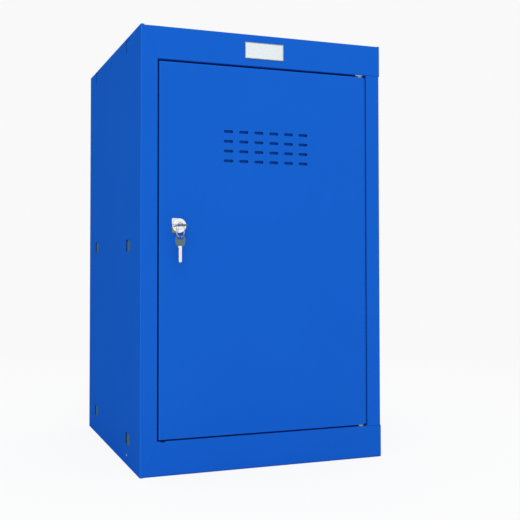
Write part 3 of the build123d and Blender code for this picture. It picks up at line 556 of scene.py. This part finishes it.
# Lock
def add_escutcheon():
    """Thin plate under the lock head, square on its left and round on its right."""
    r = HEAD_RADIUS
    outline = rounded([(-r, -r, 0.6), (r, -r, r - 0.02), (r, r, r - 0.02), (-r, r, 0.6)], 0, 16)
    plate = Shape()
    plate.flat([outline, circle(BARREL_RADIUS)], 0, PLATE_SHEET, 0.2, lock_place())
    plate.put_in("escutcheon", "door", "zinc_plate", escutcheon_zinc(), "lock_escutcheon")


def add_lock_housing():
    """Turned head with an index dimple, on a threaded barrel."""
    place = lock_place()
    core = BARREL_RADIUS - THREAD_DEPTH
    profile = [(BORE_RADIUS, BARREL_REAR), (BORE_RADIUS, HEAD_FRONT - 0.3), (BORE_RADIUS + 0.3, HEAD_FRONT)]
    reach = DIMPLE_OFFSET - DIMPLE_RADIUS
    steps = 8
    profile += [(reach + 2 * DIMPLE_RADIUS * i / steps, HEAD_FRONT) for i in range(steps + 1)]
    profile += [(10.1, HEAD_FRONT), (10.5, 3.25), (10.8, 2.9), (HEAD_RADIUS, 2.5)]
    profile += [(HEAD_RADIUS, PLATE_SHEET), (core, PLATE_SHEET), (core, BARREL_REAR)]
    housing = Shape()
    housing.turned(profile, place, True, 144)
    local = place.inverted()
    for vert in housing.mesh.verts:
        point = local @ vert.co
        apart = Vector((point.x + DIMPLE_OFFSET, point.y)).length / DIMPLE_RADIUS
        if point.z > HEAD_FRONT - 0.01 and apart < 1:
            vert.co = place @ (point - Vector((0, 0, DIMPLE_DEPTH * (1 - apart ** 2))))
    rows = [[(x, y, -1) for x, y in circle(core - 0.1, sides=48)]]
    count = int((-1 - BARREL_REAR) / THREAD_PITCH * 6)
    for i in range(count + 1):
        z = -1 + (BARREL_REAR + 1) * i / count
        row = []
        for j in range(48):
            turn = 2 * pi * j / 48
            wave = abs((z / THREAD_PITCH + j / 48) % 1 * 2 - 1)
            radius = core + THREAD_DEPTH * min(1, max(0, 1.4 * wave - 0.2))
            row.append((radius * cos(turn), radius * sin(turn), z))
        rows.append(row)
    rows.append([(x, y, BARREL_REAR) for x, y in circle(core - 0.1, sides=48)])
    housing.skin(rows, place, True)
    housing.put_in("threaded_housing", "door", "lock_chrome", chrome, "lock_housing")


def add_lock_nut():
    """Hexagon nut with eased corners."""
    low, high = extent("lock_nut")
    turn = 0 if high.x - low.x > high.z - low.z else pi / 6
    tip = NUT_FLAT / cos(pi / 6)
    corners = [(tip * cos(turn + pi * i / 3), tip * sin(turn + pi * i / 3)) for i in range(6)]
    nut = Shape()
    nut.flat([rounded(corners, 1.2), circle(BARREL_RADIUS)], NUT_REAR, NUT_FRONT, 0.5, lock_place())
    nut.put_in("hexagon_nut", "door", "zinc_plate", zinc, "lock_nut")


def add_lock_core():
    """Plug with a warded keyway and a square tail, then the cam, its washer and its screw."""
    place = lock_place()
    keyway = rounded([
        (-2.4, -1.15), (-0.5, -1.15), (-0.4, -0.78), (0.4, -0.78), (0.5, -1.15), (2.4, -1.15),
        (2.4, 1.15), (0.5, 1.15), (0.4, 0.78), (-0.4, 0.78), (-0.5, 1.15), (-2.4, 1.15),
    ], 0.1, 2)
    plug = Shape()
    plug.flat([circle(PLUG_RADIUS), keyway], KEYWAY_REAR, PLUG_FRONT, 0.25, place)
    profile = [(PLUG_RADIUS, KEYWAY_REAR), (PLUG_RADIUS, BARREL_REAR), (PLUG_RADIUS - 0.3, PLUG_REAR)]
    plug.turned(profile, place)
    plug.flat([rectangle(TAIL_WIDTH, TAIL_WIDTH, 0.7)], CAM_REAR, BARREL_REAR, 0.2, place)
    plug.put_in("keyway_plug", "lock_core", "lock_chrome", chrome, "lock_plug")

    foot = (HUB_RADIUS ** 2 - ARM_HALF ** 2) ** 0.5
    start = atan2(foot, -ARM_HALF)
    turns = [start + radians(a) for a in range(5, 260, 5)]
    hub = [(HUB_RADIUS * cos(a), HUB_RADIUS * sin(a)) for a in turns]
    arm = rounded([
        (ARM_HALF, foot, 0), (ARM_HALF, ARM_REACH), (-ARM_HALF, ARM_REACH), (-ARM_HALF, foot, 0),
    ], 3.0)
    cam = Shape()
    hole = rectangle(TAIL_WIDTH + 0.1, TAIL_WIDTH + 0.1, 0.5)
    cam.flat([arm + hub, hole], CAM_REAR, CAM_FRONT, 0.3, place)
    cam.put_in("cam_arm", "lock_core", "zinc_plate", zinc, "lock_cam")

    washer = Shape()
    profile = [(SCREW_RADIUS, CAM_REAR), (SCREW_RADIUS, WASHER_REAR), (5.3, WASHER_REAR)]
    profile += [(5.5, -26.0), (5.5, -25.4), (5.3, CAM_REAR)]
    washer.turned(profile, place, True)
    washer.put_in("plain_washer", "lock_core", "zinc_plate", zinc, "cam_washer")

    cross = rounded([
        (0.45, 0.45, 0), (0.45, 2.2), (-0.45, 2.2), (-0.45, 0.45, 0), (-2.2, 0.45), (-2.2, -0.45),
        (-0.45, -0.45, 0), (-0.45, -2.2), (0.45, -2.2), (0.45, -0.45, 0), (2.2, -0.45), (2.2, 0.45),
    ], 0.3, 3)
    screw = Shape()
    profile = [(SCREW_RADIUS, -19.2), (SCREW_RADIUS, WASHER_REAR), (4.1, WASHER_REAR), (4.1, -27.2)]
    screw.turned(profile, place)
    screw.flat([circle(4.2), cross], SCREW_REAR, -27.0, 0.3, place)
    screw.put_in("cross_screw", "lock_core", "zinc_plate", zinc, "cam_screw")


# Keys and ring
def blade_section(y, left, right, half, flute):
    """Points round a key's blade at one place along it."""
    face = [
        (right, y, half - 0.2), (right - 0.2, y, half), (0.75, y, half), (0.5, y, half - flute),
        (-0.5, y, half - flute), (-0.75, y, half), (0.2 - left, y, half), (-left, y, half - 0.2),
    ]
    return face + [(x, y, -z) for x, y, z in reversed(face)]


def add_key(prefix, body, place, bow_node, blade_node):
    """A key: moulded bow with a raised rim, an eye and two ribs, and a fluted, notched blade."""
    corners = list(BOW_CORNERS) + [(-x, y) for x, y in reversed(BOW_CORNERS)]
    outline = rounded(corners, BOW_CORNER_RADIUS)
    eye = rectangle(EYE_LENGTH, EYE_HEIGHT, EYE_HEIGHT / 2 - 0.01, (0, EYE_AT))
    lip = rectangle(EYE_LENGTH + 1.5, EYE_HEIGHT + 1.5, EYE_HEIGHT / 2 + 0.74, (0, EYE_AT))
    bow = Shape()
    core = rounded(inset(corners, 0.15), BOW_CORNER_RADIUS)
    wide_eye = rectangle(EYE_LENGTH + 0.3, EYE_HEIGHT + 0.3, EYE_HEIGHT / 2 + 0.14, (0, EYE_AT))
    bow.flat([core, wide_eye], -FIELD_HALF, FIELD_HALF, 0.2, place)
    bow.flat([outline, rounded(inset(corners, RIM_WIDTH), 1.0)], -BOW_HALF, BOW_HALF, 0.28, place)
    bow.flat([lip, eye], -FIELD_HALF - 0.12, FIELD_HALF + 0.12, 0.12, place)
    for y in (1.9, 3.1):
        bow.flat([rectangle(7.4, 0.5, 0.2, (0, y))], -FIELD_HALF - 0.12, FIELD_HALF + 0.12, 0.12, place)
    plastic = bow_plastic(prefix + "_plastic", place)
    bow.put_in(prefix + "_moulded_bow", body, "key_plastic", plastic, bow_node)

    w = BLADE_HALF_WIDTH
    h = BLADE_HALF
    stations = [(4.5, w, w, 0.7, 0), (0, w, w, 0.7, 0), (0, SHOULDER_HALF_WIDTH, 2.3, h, 0)]
    stations += [(-2.4, SHOULDER_HALF_WIDTH, 2.3, h, 0), (-2.9, w, w, h, 0), (-3.4, w, w, h, 0)]
    stations += [(-4.4, w, w, h, FLUTE_DEPTH)]
    for count, y in enumerate(NOTCHES):
        left, right = ((w, NOTCH_HALF_WIDTH), (NOTCH_HALF_WIDTH, w))[count % 2]
        stations += [(y + 0.7, w, w, h, FLUTE_DEPTH), (y + 0.35, left, right, h, FLUTE_DEPTH)]
        stations += [(y - 0.35, left, right, h, FLUTE_DEPTH), (y - 0.7, w, w, h, FLUTE_DEPTH)]
    tip = ((-22.4, w, h), (-23.0, 2.05, h), (-23.5, 1.7, 0.9), (-23.9, 1.1, 0.75))
    stations += [(y, side, side, half, 0.3) for y, side, half in tip]
    blade = Shape()
    blade.skin([blade_section(*station) for station in stations], place)
    blade.put_in(prefix + "_cut_blade", body, "key_steel", nickel, blade_node)


def add_ring():
    """Split ring: two flat turns of wire side by side, crossing over once."""
    rows = []
    for i in range(RING_STEPS + 1):
        share = i / RING_STEPS
        turn = 2 * pi * RING_TURNS * share - 1.2
        crossing = min(1, max(0, (share - 0.46) / 0.08))
        z = RING_APART * (crossing * crossing * (3 - 2 * crossing) - 0.5)
        row = []
        for out, along in ((0.5, 0.14), (0.38, 0.25), (-0.38, 0.25), (-0.5, 0.14),
                           (-0.5, -0.14), (-0.38, -0.25), (0.38, -0.25), (0.5, -0.14)):
            radius = RING_RADIUS + out
            row.append((radius * cos(turn), radius * sin(turn), z + along))
        rows.append(row)
    ring = Shape()
    ring.skin(rows, ring_place())
    ring.put_in("split_ring", "ring", "bright_steel", steel, "key_ring")


# Brackets, hinges and small parts
def add_brackets():
    """Eight folded brackets, each with a pressed boss in its slot."""
    for node in sorted(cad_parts):
        if "_bracket_" not in node:
            continue
        low, high = extent(node)
        inward = 1 if node.endswith("left") else -1
        face = WALLS[0] + 1 if inward == 1 else WALLS[1] - 1
        middle = (low.y + high.y) / 2
        fold = Matrix(((inward, 0, 0, face), (0, 0, 1, middle), (0, 1, 0, 0), (0, 0, 0, 1)))
        ledge_foot = high.z - BRACKET_SHEET
        section = rounded([
            (0, low.z), (BRACKET_SHEET, low.z), (BRACKET_SHEET, ledge_foot, 0.8),
            (BRACKET_LEDGE, ledge_foot), (BRACKET_LEDGE, high.z), (0, high.z, 2.2),
        ], 0.3)
        bracket = Shape()
        bracket.flat([section], low.y - middle, high.y - middle, 0.25, fold)
        slot = (1, 0, 0, low.y + BOSS_AT[0]), (0, 1, 0, low.z + BOSS_AT[1])
        press = Matrix(((0, 0, -inward, face), *slot, (0, 0, 0, 1)))
        boss = rectangle(BOSS_SIDE, BOSS_SIDE, 1.0)
        bracket.flat([boss], -0.4, 0.5, 0.4, press)
        bracket.put_in("folded_" + node, "cabinet", "zinc_plate", dull_shaded_zinc, node)


def add_hinges():
    """Pins, washers and plates of both hinges, and the bored blocks in the door."""
    pin_place = Matrix.Translation((HINGE_X, HINGE_Y, 0))
    for end, up in (("lower", 1), ("upper", -1)):
        low, high = extent("hinge_pin_" + end)
        foot, tip = (low.z, high.z) if up == 1 else (high.z, low.z)
        profile = [(3.6, foot), (PIN_HEAD_RADIUS, foot + 0.5 * up), (PIN_HEAD_RADIUS, foot + 2 * up)]
        profile += [(PIN_RADIUS, foot + 2 * up), (PIN_RADIUS, tip - 0.9 * up)]
        profile += [(2.3, tip - 0.4 * up), (1.7, tip)]
        pin = Shape()
        pin.turned(profile, pin_place)
        pin.put_in("headed_pin_" + end, "cabinet", "bright_steel", steel, "hinge_pin_" + end)

        low, high = extent("hinge_washer_" + end)
        radius = (high.x - low.x) / 2
        profile = [(PIN_RADIUS, low.z), (radius - 0.25, low.z), (radius, low.z + 0.25)]
        profile += [(radius, high.z - 0.25), (radius - 0.25, high.z), (PIN_RADIUS, high.z)]
        washer = Shape()
        washer.turned(profile, pin_place, True)
        finish = (brass, "brass") if end == "lower" else (steel, "bright_steel")
        washer.put_in("thrust_washer_" + end, "cabinet", finish[1], finish[0], "hinge_washer_" + end)

        bored = (("hinge_plate_" + end, "cabinet", 1.5), ("pivot_block_" + end, "door", 0.8))
        for node, body, corner in bored:
            low, high = extent(node)
            middle = ((low.x + high.x) / 2 - HINGE_X, (low.y + high.y) / 2 - HINGE_Y)
            outline = rectangle(high.x - low.x, high.y - low.y, corner, middle)
            bore = circle(PIN_RADIUS if body == "cabinet" else BLOCK_BORE_RADIUS)
            plate = Shape()
            plate.flat([outline, bore], low.z, high.z, 0.25, pin_place)
            plate.put_in("bored_" + node, body, "zinc_plate", zinc, node)


def add_buffers():
    """Three rubber pads with a rounded face and a gate mark."""
    low, high = extent("door_buffers")
    x = (low.x + high.x) / 2
    thick = high.y - low.y
    buffers = Shape()
    for z in BUFFER_HEIGHTS:
        place = Matrix.Translation((x, high.y, z)) @ Matrix.Rotation(radians(90), 4, "X")
        profile = [(BUFFER_RADIUS, 0), (BUFFER_RADIUS, thick - 0.9), (3.8, thick - 0.35)]
        profile += [(3.3, thick), (1.0, thick), (0.7, thick - 0.3)]
        buffers.turned(profile, place)
    buffers.put_in("rubber_pads", "cabinet", "black_rubber", rubber, "door_buffers")


def add_badge():
    """Silver border round a blank white insert."""
    low, high = extent("badge_frame")
    middle = ((low.x + high.x) / 2, FRONT, (low.z + high.z) / 2)
    place = Matrix.Translation(middle) @ Matrix.Rotation(radians(90), 4, "X")
    width = high.x - low.x
    height = high.z - low.z
    border = Shape()
    inner = rectangle(width - 2.2, height - 2.2, 0.5)
    border.flat([rectangle(width, height, 0.8), inner], 0, 1.2, 0.3, place)
    border.put_in("badge_border", "cabinet", "badge_metal", border_silver, "badge_frame")
    insert = Shape()
    insert.flat([rectangle(width - 2.0, height - 2.0, 0.5)], 0, 0.8, 0.15, place)
    insert.put_in("blank_insert", "cabinet", "badge_white", insert_white, "badge_plate")


def add_rivets():
    """Flush rivets low on the side walls: the front pair bare, the rear pair painted over."""
    low, high = extent("base_rivets")
    for name, y, finish in (("front_rivets", low.y + RIVET_RADIUS, rivet_zinc),
                            ("rear_rivets", high.y - RIVET_RADIUS, cabinet_blue)):
        rivets = Shape()
        for wall, outward in zip(WALLS, (-1, 1)):
            place = Matrix.Translation((wall, y, RIVET_Z)) @ Matrix.Rotation(radians(90 * outward), 4, "Y")
            profile = [(RIVET_RADIUS, -2.8), (RIVET_RADIUS, -2.1), (1.3, -2.0), (1.3, -0.7)]
            profile += [(1.95, -0.05), (1.5, -0.02)]
            profile += [(1.1, -0.05), (0.8, -0.25), (0.2, -0.3)]
            rivets.turned(profile, place, sides=32)
        rivets.put_in(name, "cabinet", "zinc_plate", finish, "base_rivets")


add_escutcheon()
add_lock_housing()
add_lock_nut()
add_lock_core()
add_key("lock_key", "key", lock_key_place(), "key_bow", "key_blade")
add_key("spare_key", "spare_key", spare_key_place(), "spare_key_bow", "spare_key_blade")
add_ring()
add_brackets()
add_hinges()
add_buffers()
add_badge()
add_rivets()


# Studio
def add_camera():
    """The camera at the photograph's place, height and framing."""
    lens = bpy.data.cameras.new("photo_camera")
    lens.sensor_width = SENSOR_WIDTH
    lens.lens = FOCAL_PIXELS / IMAGE_SIDE * SENSOR_WIDTH
    lens.shift_x = 0.5 - AXIS_PIXEL[0] / IMAGE_SIDE
    lens.shift_y = AXIS_PIXEL[1] / IMAGE_SIDE - 0.5
    camera = bpy.data.objects.new("photo_camera", lens)
    camera.location = CAMERA_PLACE
    camera.rotation_euler = (radians(90 + CAMERA_PITCH), 0, radians(CAMERA_YAW))
    bpy.context.scene.collection.objects.link(camera)
    bpy.context.scene.camera = camera


def seen_directly(tree):
    """One for what the camera, gloss or glass sees, nought for the light that falls on surfaces."""
    rays = [tree.node("ShaderNodeLightPath", {}, {}, name)
            for name in ("Is Camera Ray", "Is Glossy Ray", "Is Transmission Ray")]
    return (rays[0] + rays[1] + rays[2]).least(1.0)


def add_room():
    """A pale room that lights everything evenly."""
    world = bpy.data.worlds.new("room")
    bpy.context.scene.world = world
    world.use_nodes = True
    tree = Tree(world.node_tree)
    level = ROOM_LIGHT + (BACKGROUND - ROOM_LIGHT) * seen_directly(tree)
    sky = world.node_tree.nodes["Background"]
    world.node_tree.links.new(level.socket, sky.inputs["Strength"])
    sky.inputs["Color"].default_value = (1, 1, 1, 1)


def add_floor():
    """A pale floor that meets the background without an edge and keeps a soft shadow."""
    mesh = bpy.data.meshes.new("floor")
    r = FLOOR_REACH
    z = -0.05 * MM
    mesh.from_pydata([(-r, -r, z), (r, -r, z), (r, r, z), (-r, r, z)], [], [(0, 1, 2, 3)])
    floor = bpy.data.objects.new("floor", mesh)
    bpy.context.scene.collection.objects.link(floor)
    look = Finish("studio_floor", Roughness=0.9, Specular_IOR_Level=0.0)
    look.shader.inputs["Base Color"].default_value = (0.9, 0.9, 0.9, 1)
    apart = look.node("ShaderNodeVectorMath", {"operation": "LENGTH"}, {0: look.place}, "Value")
    near = 1 - look.between(apart, 0.5, 1.6)
    level = BACKGROUND + FLOOR_GLOW * near
    glow = look.node("ShaderNodeEmission", {}, {"Color": (1, 1, 1, 1), "Strength": level})
    share = seen_directly(look) * (1 - FLOOR_SHADE * near)
    mixed = look.node("ShaderNodeMixShader", {}, {0: share, 1: Wire(look, look.shader.outputs[0]), 2: glow})
    output = look.nodes.nodes["Material Output"]
    look.nodes.links.new(mixed.socket, output.inputs["Surface"])
    mesh.materials.append(look.material)


def add_lamp():
    """A soft square lamp, high in front and a little to the left, that metal doesn't mirror."""
    light = bpy.data.lights.new("softbox", "AREA")
    light.shape = "SQUARE"
    light.size = LAMP_SIZE
    light.energy = LAMP_POWER
    lamp = bpy.data.objects.new("softbox", light)
    lamp.location = LAMP_PLACE
    lamp.visible_glossy = False
    aim = Vector(LAMP_TARGET) - Vector(LAMP_PLACE)
    lamp.rotation_euler = aim.to_track_quat("-Z", "Y").to_euler()
    bpy.context.scene.collection.objects.link(lamp)


add_camera()
add_room()
add_floor()
add_lamp()
bpy.context.scene.view_settings.view_transform = "Standard"
